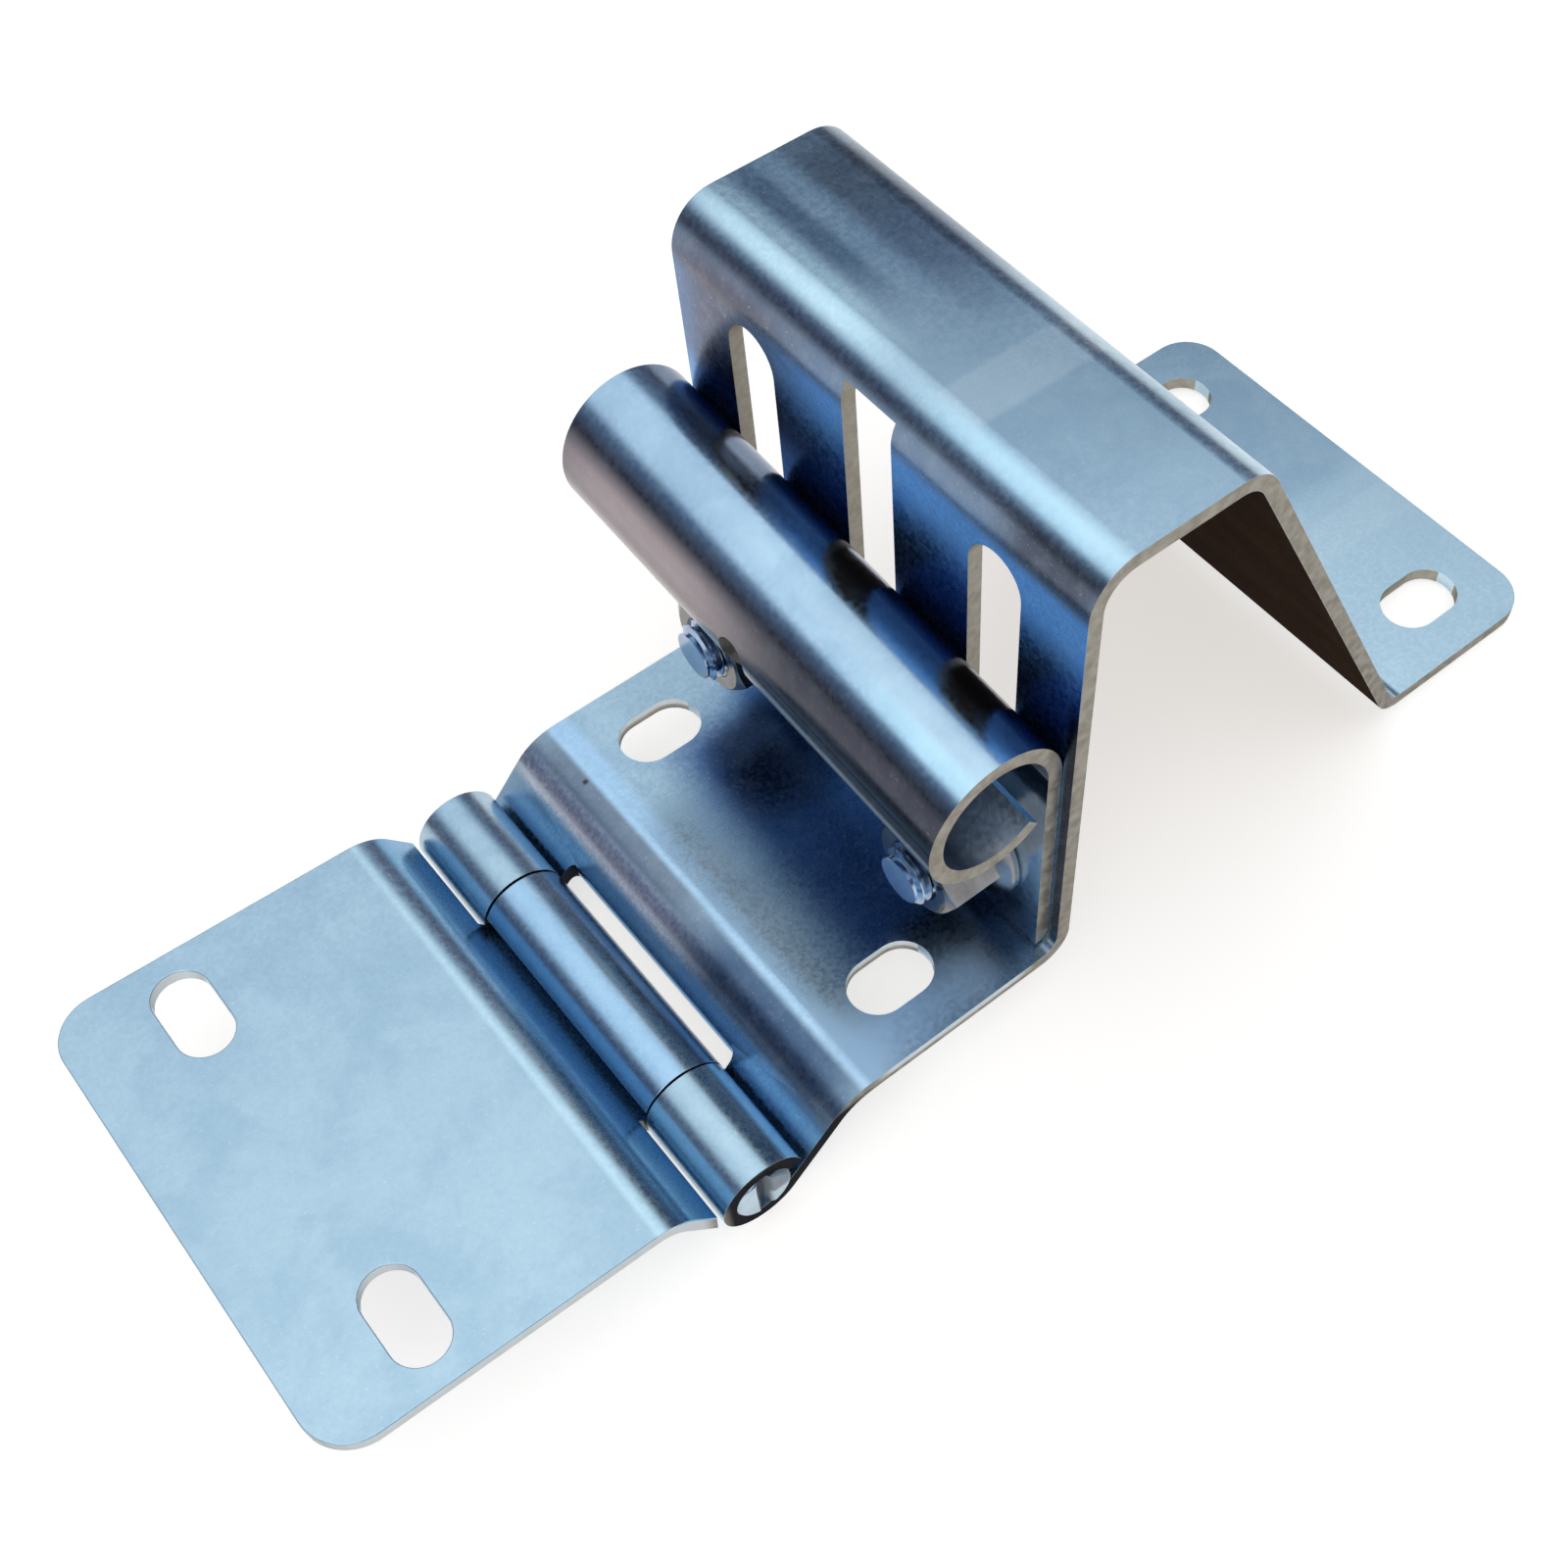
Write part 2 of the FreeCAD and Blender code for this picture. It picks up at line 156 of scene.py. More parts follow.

# Painted light and shade. Each is a block of the piece and the colour that it takes on there: dark
# colours painted where the metal lies in shade or mirrors its dark surroundings, pale ones painted
# as highlights and reflections. A block is a stretch along X, Y and Z, and how much of the painted
# colour shows.
# Bracket: the navy on the wall, on the base under the tube and on the slope is painted shade. The
# pale blocks at the base's near end, the bends, the top plate and the foot are painted highlights
# and reflections.
BRACKET_PAINTED_LIGHT = (
    # Wall
    (((-29.6, -28.0, 0.3), WHOLE_WIDTH, (5, 66, 2), 0.9), (0.12, 0.33, 0.70)),
    (((-29.6, -26.6, 0.6), WHOLE_WIDTH, (64.5, 69.8, 1.0), 0.8), (0.12, 0.17, 0.27)),
    (((-29.6, -25.0, 0.5), (14, 36, 8), (50, 68, 3), 0.9), (0.10, 0.09, 0.115)),
    (((-29.6, -26.8, 0.5), (-36, -22, 4), (65.0, 69.6, 1), 0.8), (0.06, 0.065, 0.09)),
    (((-29.6, -27.5, 0.3), (-36, -33.6, 0.4), (3, 50, 3), 0.95), (0.02, 0.035, 0.07)),
    # Base
    (((-49.5, -30.5, 4.5), (-25, 23, 6), BASE_FACE, 0.94), (0.045, 0.105, 0.26)),
    (((-36, -30.0, 2.0), (-33, 33, 2), BASE_FACE, 0.8), (0.05, 0.13, 0.30)),
    (((-58, -37.0, 2.5), (-36, -27, 4), BASE_FACE, 0.9), (0.50, 0.72, 0.97)),
    (((-50, -36.0, 3.0), (24, 36, 4), BASE_FACE, 0.4), (0.28, 0.38, 0.46)),
    (((-60, -56.5, 0.8), WHOLE_WIDTH, BASE_FACE, 0.45), (0.48, 0.72, 1.00)),
    # Slope beside the knuckles, with a small nearly black spot
    (((-66.2, -60.2, 0.7), (-36, -3, 8), SLOPE_UPPER, 0.88), (0.05, 0.09, 0.18)),
    (((-65.8, -62.6, 0.5), (-3, 36, 8), SLOPE_UPPER, 0.7), (0.66, 0.68, 0.80)),
    (((-62.8, -59.8, 0.5), (-3, 36, 8), SLOPE_UPPER, 0.85), (0.15, 0.18, 0.24)),
    (((-70.5, -65.8, 0.6), (0, 36, 8), SLOPE_LOWER, 0.85), (0.18, 0.36, 0.58)),
    (((-70.5, -66.0, 0.6), (-36, -3, 8), SLOPE_LOWER, 0.65), (0.11, 0.34, 0.68)),
    (((-60.85, -60.15, 0.25), (24.15, 24.85, 0.25), (-6, 4, 1), 0.95), (0.02, 0.02, 0.03)),
    # Top plate and the bend beside it
    (((-26.0, -21.6, 0.8), (4, 36, 8), TOP_FACE, 0.7), (0.72, 0.94, 1.00)),
    (((-20.6, -17.6, 0.8), (10, 36, 7), TOP_FACE, 0.8), (0.12, 0.19, 0.28)),
    (((-14.0, -4, 1.5), (5, 36, 9), (66, 72, 1), 0.85), (0.11, 0.14, 0.19)),
    (((-18, -6, 4), (2, 20, 8), TOP_FACE, 0.35), (0.20, 0.31, 0.46)),
    (((-24, -4, 2), (-36, -27, 4), (66, 72, 2), 0.4), (0.56, 0.72, 0.82)),
    (((-28.6, -24, 1.0), (-36, -8, 8), (69.3, 72, 0.8), 0.6), (0.60, 0.86, 1.00)),
    (((-24, -6, 1.5), PALE_STRIPE, (68, 72, 1), 0.5), (0.62, 0.72, 0.78)),
    # Foot
    (((30, 62, 1.5), PALE_STRIPE, FOOT_FACE, 0.4), (0.62, 0.72, 0.78)),
    (((30, 62, 1.5), (-36, -1, 3), FOOT_FACE, 0.6), (0.58, 0.73, 0.81)),
)
# Leaf: the pale crest of the rib is a painted highlight, and the darker blues on the slope and the
# knuckle are painted shade and reflection.
LEAF_PAINTED_LIGHT = (
    # Crest of the rib, and the slope from it to the knuckle
    (((-90.5, -88.2, 0.5), WHOLE_WIDTH, (0.5, 4, 0.6), 0.65), (0.66, 0.86, 0.95)),
    (((-87.7, -82.0, 0.5), WHOLE_WIDTH, (-6, 2.4, 0.3), 0.9), (0.18, 0.38, 0.60)),
    # Knuckle
    (((-81.5, -79.0, 0.6), KNUCKLE_WIDTH, (-12, -0.8, 0.5), 0.8), (0.18, 0.33, 0.52)),
    (((-79.0, -75.0, 0.8), KNUCKLE_WIDTH, (-1.2, 1, 0.5), 0.5), (0.36, 0.58, 0.84)),
    (((-73.2, -70, 0.5), KNUCKLE_WIDTH, (-5, -0.5, 0.4), 0.85), (0.13, 0.19, 0.29)),
)
# Pin: its end and the knuckle's rim around it are painted near-black, a painted shade.
PIN_PAINTED_SHADE = (
    (((-76.9, -75.1, 0.35), WHOLE_WIDTH, (-11, 0, 1), 0.95), (0.02, 0.03, 0.05)),
    (((-76.5, -71, 0.5), WHOLE_WIDTH, (-6.6, 0, 0.5), 0.9), (0.03, 0.05, 0.08)),
)
# Holder: the near-black and brown bands on the side facing the leaf and the navy on the side facing
# the wall are painted shade and dark reflection. The pale blue blocks at its crown are painted
# highlights.
HOLDER_PAINTED_LIGHT = (
    # Side of the tube that faces the leaf
    (((-50, -43.4, 1.0), TUBE_WIDTH, (28, 47.6, 1.1), 0.94), (0.040, 0.036, 0.048)),
    (((-50, -44.0, 1.0), (2, 37, 12), (28, 46.0, 1.5), 0.85), (0.36, 0.31, 0.33)),
    (((-50, -46.0, 0.8), TUBE_WIDTH, (28, 42.0, 1.2), 0.6), (0.15, 0.115, 0.12)),
    # Side of the tube that faces the wall, and its crown
    (((-35.2, -28.5, 1.0), TUBE_WIDTH, (38, 50.5, 2.0), 0.88), (0.06, 0.09, 0.18)),
    (((-44, -34, 2), (6, 37, 12), (44, 51, 2), 0.5), (0.34, 0.46, 0.58)),
    (((-41.5, -36, 1.2), (-36, -4, 6), (46, 51, 2), 0.6), (0.36, 0.48, 0.58)),
    (((-44, -41.5, 1), (-36, -18, 10), (44, 51, 2), 0.6), (0.60, 0.88, 1.00)),
)
# Inside of the bore: the navy blocks are painted shade.
BORE_PAINTED_SHADE = (
    (((-50, -41.5, 1.8), TUBE_WIDTH, (28, 52, 1), 0.85), (0.10, 0.16, 0.28)),
    (((-40, -28, 2), TUBE_WIDTH, (42, 52, 2), 0.7), (0.14, 0.24, 0.42)),
)
# Sheared rims: the near-black beside the knuckles and the slope is painted shade. The pale leaf
# side and base side are painted highlights.
RIM_PAINTED_LIGHT = (
    # Knuckles and slope, the leaf's side, and the upper half of the base's side
    (((-81.5, -58, 1), PAST_BOTH_SIDES, (-16, 0.3, 1), 1.0), (0.02, 0.022, 0.028)),
    (((-140, -84, 1), PAST_BOTH_SIDES, (-16, 12, 1), 0.75), (0.80, 0.86, 0.90)),
    (((-57, -34, 2), PAST_BOTH_SIDES, (0.9, 4, 0.4), 0.85), (0.84, 0.92, 0.98)),
)

# Near end of the base, whose frosting spreads the light. Its last number is added to the roughness.
MATT_END = ((-60, -37.5, 2.5), (-36, -25, 5), BASE_FACE, 0.16)


# Solids

def select_only(piece):
    bpy.ops.object.select_all(action="DESELECT")
    piece.select_set(True)
    bpy.context.view_layer.objects.active = piece


def apply_modifiers(piece):
    select_only(piece)
    for modifier in list(piece.modifiers):
        bpy.ops.object.modifier_apply(modifier=modifier.name)


def smooth_over(piece, angle):
    """Smooth shading that leaves the large flat faces flat."""
    select_only(piece)
    bpy.ops.object.shade_smooth_by_angle(angle=radians(angle))
    weighting = piece.modifiers.new("flat_faces", "WEIGHTED_NORMAL")
    weighting.mode = "FACE_AREA"
    weighting.weight = 100
    weighting.keep_sharp = True
    apply_modifiers(piece)


def settle(piece, name):
    """Names the piece and leaves its object at the origin with its place in its mesh."""
    select_only(piece)
    bpy.ops.object.transform_apply(location=True, rotation=True, scale=True)
    piece.name = name
    return piece


def turned(name, place, direction, rings, sides=64):
    """A turned solid. Its rings are pairs of a distance from place along direction and a radius."""
    direction = Vector(direction)
    place = Vector(place) * MM
    bpy.ops.object.select_all(action="DESELECT")
    facing = direction.to_track_quat("Z", "Y").to_euler()
    start, radius = rings[0]
    centre = place + direction * (start * MM)
    bpy.ops.mesh.primitive_circle_add(
        vertices=sides, radius=radius * MM, fill_type="NGON", location=centre, rotation=facing
    )
    piece = bpy.context.object
    bpy.ops.object.mode_set(mode="EDIT")
    bpy.ops.mesh.select_all(action="SELECT")
    for (here, before), (there, after) in zip(rings, rings[1:]):
        step = direction * ((there - here) * MM)
        bpy.ops.mesh.extrude_region_move(TRANSFORM_OT_translate={"value": step})
        centre = centre + step
        bpy.ops.transform.resize(value=(after / before,) * 3, center_override=centre)
    bpy.ops.mesh.select_all(action="SELECT")
    bpy.ops.mesh.normals_make_consistent(inside=False)
    bpy.ops.object.mode_set(mode="OBJECT")
    return settle(piece, name)


def cuboid(name, place, sides, turn=0.0):
    """A box about place, turned about Z."""
    bpy.ops.object.select_all(action="DESELECT")
    bpy.ops.mesh.primitive_cube_add(size=1.0, location=[along * MM for along in place])
    piece = bpy.context.object
    piece.scale = [side * MM for side in sides]
    piece.rotation_euler = (0, 0, turn)
    return settle(piece, name)


def shaped_with(piece, operation, other):
    """Keeps the common part, joins the other solid on or cuts it away, and removes the other."""
    cut = piece.modifiers.new("shape", "BOOLEAN")
    cut.operation = operation
    cut.object = other
    cut.solver = "EXACT"
    apply_modifiers(piece)
    bpy.data.objects.remove(other)
    return piece


def eased(piece, width, angle=40, segments=2, material=-1):
    """Small rounds on the edges that are sharper than the angle."""
    rounding = piece.modifiers.new("eased_edges", "BEVEL")
    rounding.width = width * MM
    rounding.segments = segments
    rounding.limit_method = "ANGLE"
    rounding.angle_limit = radians(angle)
    rounding.material = material
    apply_modifiers(piece)


# Materials

class Finish:
    """A material under construction, with short names for its nodes."""

    def __init__(self, name, lean=0.0):
        self.material = bpy.data.materials.new(name)
        self.material.use_nodes = True
        self.nodes = self.material.node_tree.nodes
        self.links = self.material.node_tree.links
        self.shader = self.nodes["Principled BSDF"]
        self.place = self.nodes.new("ShaderNodeTexCoord").outputs["Object"]
        self.lean = lean

    def put(self, socket, value):
        if isinstance(value, bpy.types.NodeSocket):
            self.links.new(value, socket)
        else:
            socket.default_value = value

    def shade(self, socket, value):
        """Gives one of the shader's own sockets a value."""
        self.put(self.shader.inputs[socket], value)

    def noise(self, scale, detail=4.0, rough=0.55, stretch=(1, 1, 1), distortion=0.0):
        mapping = self.nodes.new("ShaderNodeMapping")
        mapping.inputs["Scale"].default_value = stretch
        self.links.new(self.place, mapping.inputs["Vector"])
        node = self.nodes.new("ShaderNodeTexNoise")
        self.links.new(mapping.outputs["Vector"], node.inputs["Vector"])
        node.inputs["Scale"].default_value = scale
        node.inputs["Detail"].default_value = detail
        node.inputs["Roughness"].default_value = rough
        node.inputs["Distortion"].default_value = distortion
        return node.outputs["Fac"]

    def spread(self, value, low, high, to_low=0.0, to_high=1.0):
        node = self.nodes.new("ShaderNodeMapRange")
        node.interpolation_type = "SMOOTHSTEP"
        self.put(node.inputs["Value"], value)
        node.inputs["From Min"].default_value = low
        node.inputs["From Max"].default_value = high
        node.inputs["To Min"].default_value = to_low
        node.inputs["To Max"].default_value = to_high
        return node.outputs["Result"]

    def math(self, operation, a, b):
        node = self.nodes.new("ShaderNodeMath")
        node.operation = operation
        self.put(node.inputs[0], a)
        self.put(node.inputs[1], b)
        return node.outputs[0]

    def mix(self, amount, a, b):
        node = self.nodes.new("ShaderNodeMix")
        node.data_type = "RGBA"
        self.put(node.inputs["Factor"], amount)
        self.put(node.inputs["A"], a if isinstance(a, bpy.types.NodeSocket) else (*a, 1.0))
        self.put(node.inputs["B"], b if isinstance(b, bpy.types.NodeSocket) else (*b, 1.0))
        return node.outputs["Result"]

    def along(self, axis):
        node = self.nodes.new("ShaderNodeSeparateXYZ")
        self.links.new(self.place, node.inputs[0])
        return node.outputs[axis]

    def bump(self, height, strength, distance):
        node = self.nodes.new("ShaderNodeBump")
        node.inputs["Strength"].default_value = strength
        node.inputs["Distance"].default_value = distance
        self.links.new(height, node.inputs["Height"])
        self.shade("Normal", node.outputs["Normal"])


def band(finish, axis, low, high, fade):
    """1 between low and high along an axis, and 0 outside them. Along Z it follows the lean."""
    along = finish.along(axis)
    if axis == "Z" and finish.lean:
        rise_along_y = finish.math("MULTIPLY", finish.along("Y"), finish.lean)
        along = finish.math("SUBTRACT", along, rise_along_y)
    rise = finish.spread(along, (low - fade) * MM, (low + fade) * MM)
    fall = finish.spread(along, (high - fade) * MM, (high + fade) * MM, 1.0, 0.0)
    return finish.math("MULTIPLY", rise, fall)


def patch(finish, x, y, z, amount):
    """A soft-edged block of the piece. Each of x, y and z is a low side, a high side and a fade."""
    inside = finish.math("MULTIPLY", band(finish, "X", *x), band(finish, "Y", *y))
    inside = finish.math("MULTIPLY", inside, band(finish, "Z", *z))
    return finish.math("MULTIPLY", inside, amount)


# Lays each block's painted shade or painted highlight over the colour.
def with_painted_light(finish, colour, painted_light):
    for place, painted_colour in painted_light:
        colour = finish.mix(patch(finish, *place), colour, painted_colour)
    return colour


def zinc_plate(name, pale, deep, roughness=0.26, painted_light=(), lean=0.0, frost=1.0, matt=None):
    """Bluish satin zinc: soft clouds, painted shade and highlights, a fine frosty veil with flecks,
    and a slight orange-peel. The painted shade and highlights may lean along the pin, as the tilted
    holder does."""
    finish = Finish(name, lean)
    clouds = finish.spread(finish.noise(95, rough=0.6, distortion=0.3), 0.36, 0.64)
    colour = with_painted_light(finish, finish.mix(clouds, deep, pale), painted_light)
    veil = finish.spread(finish.noise(420, rough=0.65), 0.42, 0.72)
    colour = finish.mix(finish.math("MULTIPLY", veil, 0.05 * frost), colour, VEIL)
    flecks = finish.spread(finish.noise(2300, detail=2.0, rough=0.6), 0.64, 0.76)
    colour = finish.mix(finish.math("MULTIPLY", flecks, 0.20 * frost), colour, FLECK)
    finish.shade("Base Color", colour)
    finish.shade("Metallic", 1.0)
    grain = finish.noise(1400, rough=0.6)
    shine = finish.spread(grain, 0.3, 0.7, roughness - 0.04, roughness + 0.06)
    if matt:
        shine = finish.math("ADD", shine, patch(finish, *matt))
    finish.shade("Roughness", shine)
    finish.bump(grain, strength=0.05, distance=0.00002)
    return finish


def cut_edge(name, light, dark, roughness, painted_light):
    """Sheared steel at the rim of the sheet, finely streaked, with painted shade and painted
    highlights laid over it.
    """
    finish = Finish(name)
    streaks = finish.spread(finish.noise(700, rough=0.65, stretch=(1, 0.5, 1)), 0.32, 0.68)
    finish.shade("Base Color", with_painted_light(finish, finish.mix(streaks, dark, light), painted_light))
    finish.shade("Metallic", 0.85)
    finish.shade("Specular Tint", (0.3, 0.3, 0.3, 1.0))
    shine = finish.spread(streaks, 0, 1, roughness - 0.05, roughness + 0.08)
    finish.shade("Roughness", shine)
    finish.bump(streaks, strength=0.2, distance=0.00004)
    return finish


leaf_zinc = zinc_plate("leaf_zinc", PALE, DEEP, painted_light=LEAF_PAINTED_LIGHT)
bracket_zinc = zinc_plate("bracket_zinc", PALE, DEEP, painted_light=BRACKET_PAINTED_LIGHT, matt=MATT_END)
holder_zinc = zinc_plate(
    "holder_zinc", (0.48, 0.64, 0.78), (0.38, 0.52, 0.66), 0.19, HOLDER_PAINTED_LIGHT, HOLDER_LEAN, 0.4
)
# Inside of the bore: its near-white colour is painted light, standing in for the light that comes
# in at the open end, and its navy blocks are painted shade.
bore_painted_light = zinc_plate(
    "bore_painted_light", (0.95, 0.98, 1.00), (0.70, 0.84, 0.98), 0.36, BORE_PAINTED_SHADE, HOLDER_LEAN
)
pin_zinc = zinc_plate(
    "pin_zinc", (0.46, 0.58, 0.67), (0.36, 0.48, 0.58), 0.2, PIN_PAINTED_SHADE, frost=0.3
)
fastener_zinc = zinc_plate("fastener_zinc", (0.40, 0.52, 0.68), (0.28, 0.38, 0.54), 0.16)
nut_zinc = zinc_plate("nut_zinc", (0.24, 0.25, 0.27), (0.14, 0.13, 0.13), 0.14, frost=0.4)
rim_steel = cut_edge("rim_steel", (0.44, 0.415, 0.365), (0.30, 0.275, 0.23), 0.4, RIM_PAINTED_LIGHT)

# Under the leg: painted shade, a dark brown that stands in for the shade and the dark reflections
# there. It hardly shines.
painted_underside_shade = zinc_plate(
    "painted_underside_shade", (0.060, 0.034, 0.022), (0.045, 0.025, 0.016), 0.34, frost=0.1
)
painted_underside_shade.shade("Metallic", 0.12)
painted_underside_shade.shade("Specular IOR Level", 0.0)
painted_underside_shade.shade("Specular Tint", (0.20, 0.14, 0.11, 1.0))


# Sheet-metal pieces

def in_bore(place):
    """Whether a point lies on the inside of the holder's tube."""
    height = BORE_Z * MM + place.y * HOLDER_LEAN
    return (place.x - BORE_X * MM) ** 2 + (place.z - height) ** 2 < (BORE_LIMIT * MM) ** 2


def under_leg(face):
    past_wall = face.center.x > LEG_START_X * MM
    off_the_door = face.center.z > FOOT_UNDERSIDE_Z * MM
    return face.normal.z < DOWNWARD and past_wall and off_the_door


def dressed_plate(node, name, finish):
    """The sheet-metal piece itself, with its sharp edges eased and its cut rims left bare."""
    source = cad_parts[node]
    plate = bpy.data.objects.new(name, source.data.copy())
    bpy.context.scene.collection.objects.link(plate)
    plate.data.materials.clear()
    for coat in (finish, rim_steel, painted_underside_shade, bore_painted_light):
        plate.data.materials.append(coat.material)
    select_only(plate)
    bpy.ops.object.mode_set(mode="EDIT")
    bpy.ops.mesh.select_all(action="SELECT")
    bpy.ops.mesh.customdata_custom_splitnormals_clear()
    bpy.ops.mesh.remove_doubles(threshold=MERGE_DISTANCE * MM)
    bpy.ops.mesh.dissolve_limited(angle_limit=radians(FLAT_WITHIN))
    bpy.ops.object.mode_set(mode="OBJECT")
    # Sheared rims take the cut steel, faces under the leg take the painted dark shade, and the
    # inside of the bore takes its painted light and shade.
    for face in plate.data.polygons:
        if abs(face.normal.y) > SIDEWAYS:
            face.material_index = 1
        elif node == "bracket" and under_leg(face):
            face.material_index = 2
        elif node == "roller_holder" and in_bore(face.center):
            face.material_index = 3
    eased(plate, SHEET_EDGE_ROUND, angle=50, material=0)
    smooth_over(plate, angle=50)
    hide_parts(node)
    return plate


for node, name, finish, slot, body in (
    ("lower_leaf", "leaf_plate", leaf_zinc, "leaf_zinc", "leaf"),
    ("bracket", "bracket_plate", bracket_zinc, "bracket_zinc", "upper"),
    ("roller_holder", "holder_plate", holder_zinc, "holder_zinc", "holder"),
):
    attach(dressed_plate(node, name, finish), body)


# Bolts, nuts and pin

def thread(y, z):
    """The rolled thread of a bolt, closed at both ends, with its tip tapered."""
    root_x = HEAD_SEAT_X - NECK_LENGTH
    start_x = root_x + THREAD_LEAD_TURNS * THREAD_PITCH
    bpy.ops.object.select_all(action="DESELECT")
    bpy.ops.mesh.primitive_plane_add(size=MM, location=(start_x * MM, y * MM, z * MM))
    rod = bpy.context.object
    bpy.ops.object.mode_set(mode="EDIT")
    bpy.ops.mesh.select_all(action="SELECT")
    bpy.ops.mesh.merge(type="CENTER")
    bpy.ops.transform.translate(value=(0, 0, THREAD_ROOT * MM))
    height = BOLT_RADIUS - THREAD_ROOT
    for along, up in THREAD_PROFILE:
        step = (-along * THREAD_PITCH * MM, 0, up * height * MM)
        bpy.ops.mesh.extrude_region_move(TRANSFORM_OT_translate={"value": step})
    bpy.ops.object.mode_set(mode="OBJECT")
    winding = rod.modifiers.new("winding", "SCREW")
    winding.axis = "X"
    winding.angle = 2 * pi
    winding.screw_offset = -THREAD_PITCH * MM
    winding.iterations = int(BOLT_LENGTH / THREAD_PITCH) + THREAD_SPARE_TURNS
    winding.steps = THREAD_STEPS
    winding.render_steps = THREAD_STEPS
    winding.use_merge_vertices = True
    winding.merge_threshold = 0.001 * MM
    apply_modifiers(rod)
    settle(rod, "thread")
    tip_x = HEAD_SEAT_X - BOLT_LENGTH
    bpy.ops.object.mode_set(mode="EDIT")
    for x, side in ((root_x + THREAD_SUNK, 1), (tip_x, -1)):
        bpy.ops.mesh.select_all(action="SELECT")
        bpy.ops.mesh.bisect(
            plane_co=(x * MM, 0, 0), plane_no=(side, 0, 0),
            use_fill=True, clear_outer=True, threshold=0.0001 * MM,
        )
    bpy.ops.mesh.select_all(action="SELECT")
    bpy.ops.mesh.normals_make_consistent(inside=False)
    bpy.ops.object.mode_set(mode="OBJECT")
    for corner in rod.data.vertices:
        across = Vector((corner.co.y - y * MM, corner.co.z - z * MM))
        most = (BOLT_TIP_RADIUS - tip_x) * MM + corner.co.x
        if across.length > most:
            across *= most / across.length
            corner.co.y = y * MM + across.x
            corner.co.z = z * MM + across.y
    return rod


def bolt(which):
    """Low-headed bolt with a square neck and a rolled thread."""
    y, z = BOLT_PLACES[which]
    head = turned(f"bolt_{which}_piece", (HEAD_SEAT_X, y, z), (1, 0, 0), HEAD_RINGS)
    middle_x = HEAD_SEAT_X - NECK_LENGTH / 2 + NECK_OVERLAP / 2
    neck_sides = (NECK_LENGTH + NECK_OVERLAP, NECK_SIDE, NECK_SIDE)
    neck = cuboid("neck", (middle_x, y, z), neck_sides)
    eased(neck, 0.5, segments=3)
    rod = thread(y, z)
    for part in (head, neck, rod):
        smooth_over(part, angle=35)
    select_only(head)
    neck.select_set(True)
    rod.select_set(True)
    bpy.ops.object.join()
    return head


def nut(which):
    """Hexagon nut with a flange, a chamfered outer face and a countersunk bore."""
    y, z = BOLT_PLACES[which]
    seat = (NUT_SEAT_X, y, z)
    outward = (-1, 0, 0)
    bpy.ops.object.select_all(action="DESELECT")
    bpy.ops.mesh.primitive_cylinder_add(
        vertices=6, radius=NUT_ACROSS_FLATS / sqrt(3) * MM, depth=NUT_HEIGHT * MM,
        location=((NUT_SEAT_X - NUT_HEIGHT / 2) * MM, y * MM, z * MM), rotation=(0, pi / 2, 0),
    )
    body = settle(bpy.context.object, f"nut_{which}_piece")
    bpy.ops.object.mode_set(mode="EDIT")
    bpy.ops.mesh.select_all(action="SELECT")
    bpy.ops.transform.rotate(
        value=-radians(NUT_TURNS[which]), orient_axis="X", center_override=(0, y * MM, z * MM)
    )
    bpy.ops.object.mode_set(mode="OBJECT")
    shaped_with(body, "INTERSECT", turned("envelope", seat, outward, NUT_ENVELOPE, NUT_SIDES))
    shaped_with(body, "UNION", turned("flange", seat, outward, FLANGE_RINGS, NUT_SIDES))
    shaped_with(body, "DIFFERENCE", turned("bore", seat, outward, NUT_BORE))
    select_only(body)
    bpy.ops.object.mode_set(mode="EDIT")
    bpy.ops.mesh.select_all(action="SELECT")
    bpy.ops.mesh.remove_doubles(threshold=0.005 * MM)
    bpy.ops.mesh.dissolve_limited(angle_limit=radians(1.0))
    bpy.ops.object.mode_set(mode="OBJECT")
    eased(body, 0.12, angle=25)
    smooth_over(body, angle=30)
    return body


def hinge_pin():
    """Pin with eased rims and a groove struck across each end, which spreads it in the knuckle."""
    ends = []
    groove_side = STAKE_WIDTH / sqrt(2)
    for side in (-1, 1):
        place = (PIN_X, side * PIN_END, PIN_Z)
        end = turned("pin_end", place, (0, -side, 0), PIN_RINGS)
        chisel = cuboid("chisel", place, (groove_side, groove_side, CHISEL_LENGTH), turn=pi / 4)
        ends.append(shaped_with(end, "DIFFERENCE", chisel))
    pin = shaped_with(ends[0], "UNION", ends[1])
    pin.name = "pin_piece"
    eased(pin, 0.15, angle=30)
    smooth_over(pin, angle=30)
    return pin


def place_piece(piece, node, finish, body):
    piece.data.materials.clear()
    piece.data.materials.append(finish.material)
    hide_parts(node)
    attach(piece, body)


for which in ("near", "far"):
    place_piece(bolt(which), f"bolt_{which}", fastener_zinc, "holder")
    place_piece(nut(which), f"nut_{which}", nut_zinc, "holder")
place_piece(hinge_pin(), "hinge_pin", pin_zinc, "upper")


# Studio

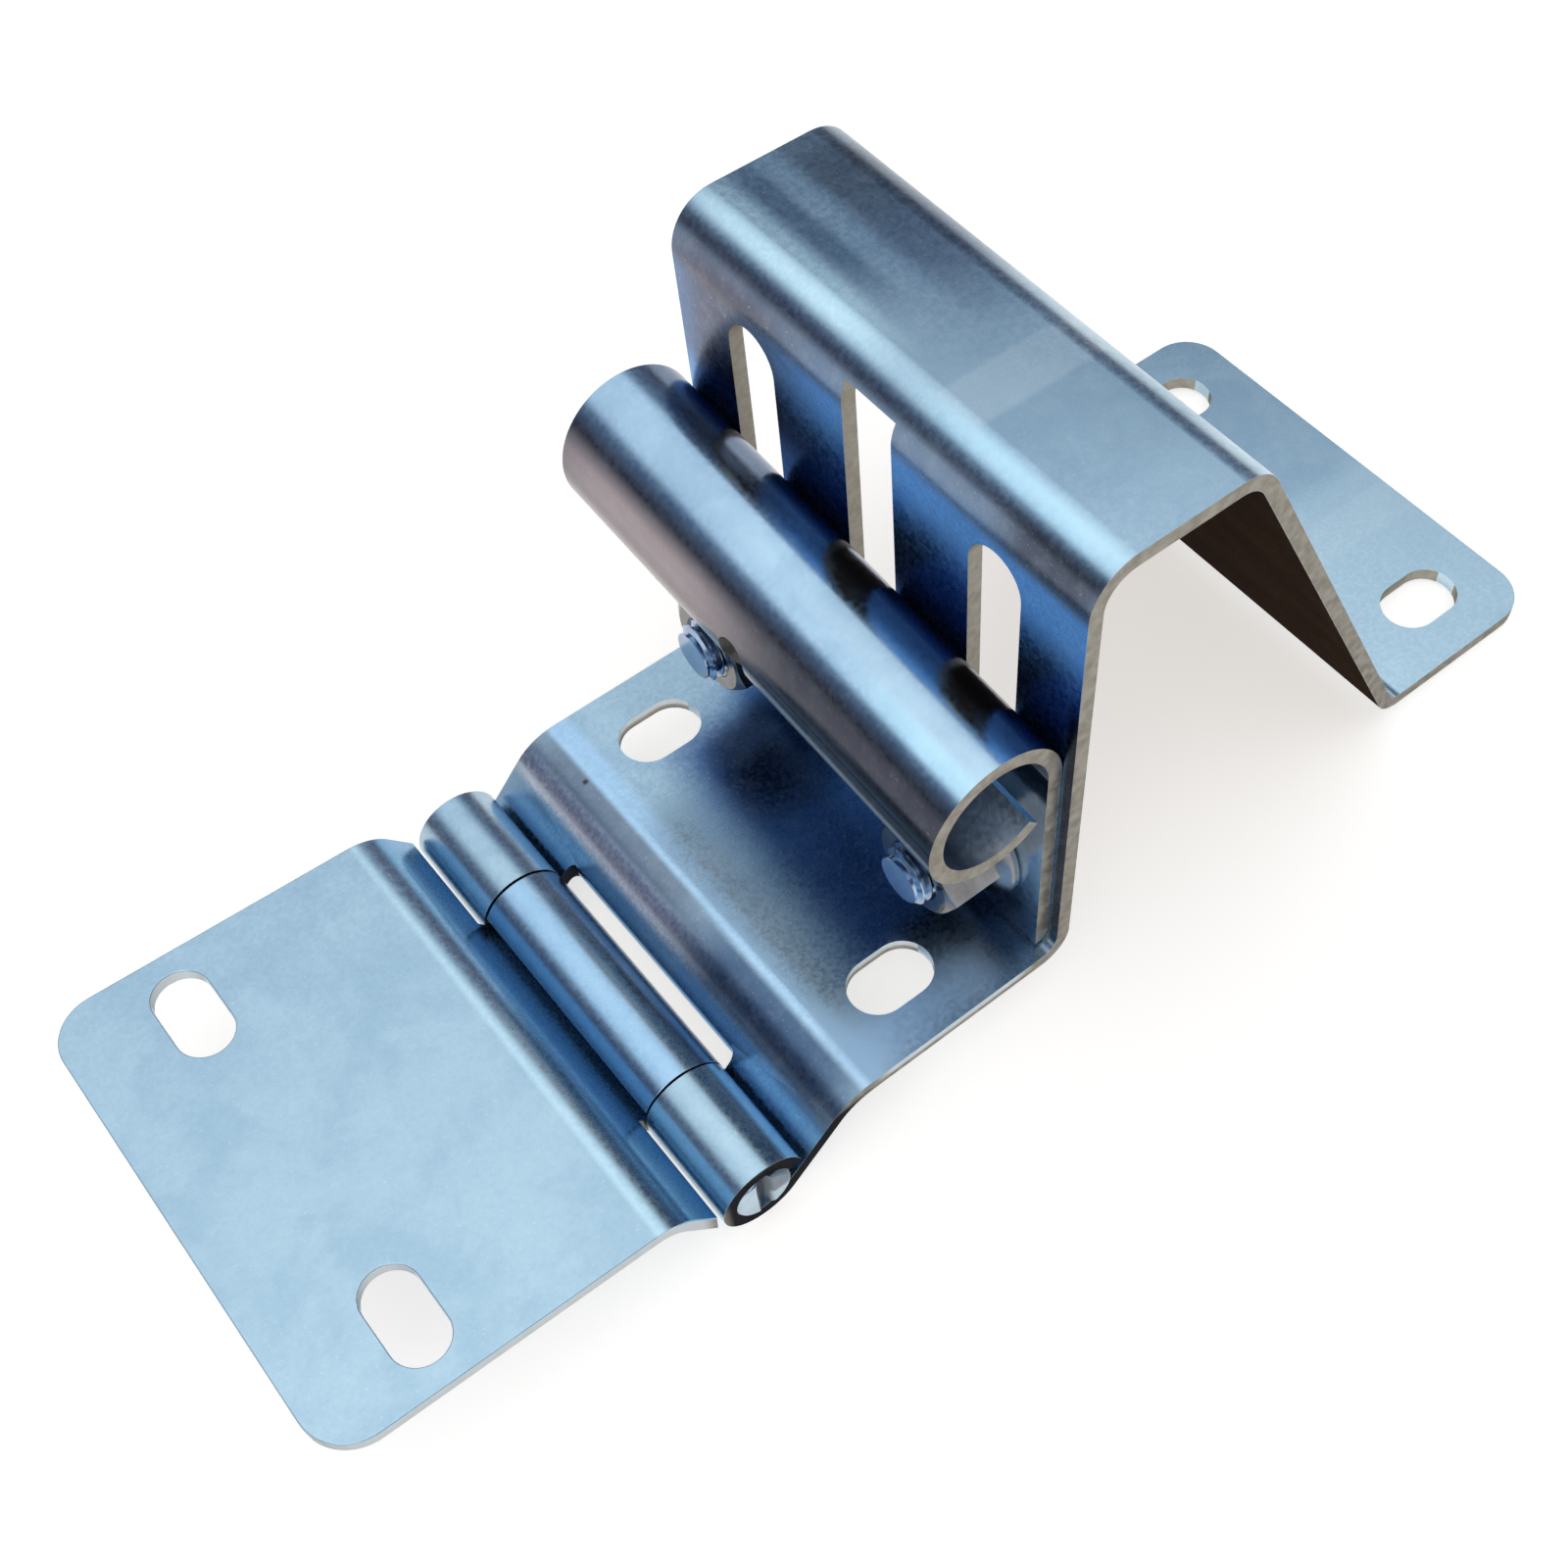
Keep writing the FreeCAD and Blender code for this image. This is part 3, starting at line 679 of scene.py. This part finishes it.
def studio_floor():
    """White floor that keeps the hinge's soft shadow. What the camera and the metal see of it is
    lifted towards white."""
    slope = (FOOT_LOW[1] - KNUCKLE_LOW[1]) / (FOOT_LOW[0] - KNUCKLE_LOW[0])
    middle_z = KNUCKLE_LOW[1] - KNUCKLE_LOW[0] * slope
    bpy.ops.object.select_all(action="DESELECT")
    bpy.ops.mesh.primitive_plane_add(size=FLOOR_SIDE, location=(0, 0, middle_z))
    floor = bpy.context.object
    floor.name = "floor"
    floor.rotation_euler = (0, -sin(slope), 0)
    finish = Finish("white_floor")
    finish.shade("Base Color", FLOOR_COLOUR)
    finish.shade("Roughness", 0.9)
    finish.shade("Specular IOR Level", 0.1)
    path = finish.nodes.new("ShaderNodeLightPath").outputs
    seen = finish.math("MAXIMUM", path["Is Camera Ray"], path["Is Glossy Ray"])
    seen = finish.math("MAXIMUM", seen, path["Is Transmission Ray"])
    finish.shade("Emission Color", FLOOR_LIFT_COLOUR)
    finish.shade("Emission Strength", finish.math("MULTIPLY", seen, FLOOR_LIFT))
    floor.data.materials.append(finish.material)


def studio_sky():
    """A wide soft light overhead, with a dim band below it and a paler rim at the horizon."""
    world = bpy.data.worlds.new("studio")
    bpy.context.scene.world = world
    world.use_nodes = True
    nodes, links = world.node_tree.nodes, world.node_tree.links
    ray = nodes.new("ShaderNodeTexCoord")
    split = nodes.new("ShaderNodeSeparateXYZ")
    links.new(ray.outputs["Generated"], split.inputs[0])
    ramp = nodes.new("ShaderNodeValToRGB")
    ramp.color_ramp.interpolation = "LINEAR"
    links.new(split.outputs["Z"], ramp.inputs["Fac"])
    elements = ramp.color_ramp.elements
    while len(elements) < len(SKY_BANDS):
        elements.new(0.5)
    for element, (height, colour) in zip(elements, SKY_BANDS):
        element.position = height
        element.color = (*colour, 1.0)
    links.new(ramp.outputs["Color"], nodes["Background"].inputs["Color"])
    nodes["Background"].inputs["Strength"].default_value = 1.0


def side_softbox(place, side, power):
    """A square soft lamp, turned to the hinge."""
    bpy.ops.object.light_add(type="AREA", location=place)
    lamp = bpy.context.object
    lamp.name = "side_softbox"
    lamp.rotation_mode = "QUATERNION"
    lamp.rotation_quaternion = (-Vector(place)).to_track_quat("-Z", "Y")
    lamp.data.shape = "SQUARE"
    lamp.data.size = side
    lamp.data.energy = power


def photograph_camera():
    bpy.ops.object.camera_add(location=EYE)
    camera = bpy.context.object
    camera.name = "camera"
    view = AIM - EYE
    camera.rotation_mode = "QUATERNION"
    camera.rotation_quaternion = Quaternion(view, radians(ROLL)) @ view.to_track_quat("-Z", "Y")
    camera.data.lens = LENS
    camera.data.sensor_width = 36.0
    camera.data.shift_x = SHIFT_X
    camera.data.shift_y = SHIFT_Y
    camera.data.clip_start = 0.01
    camera.data.clip_end = 50.0
    bpy.context.scene.camera = camera


studio_floor()
studio_sky()
side_softbox((-0.9, -0.8, 0.9), side=0.9, power=2.5)
photograph_camera()

bpy.context.scene.view_settings.view_transform = "Standard"
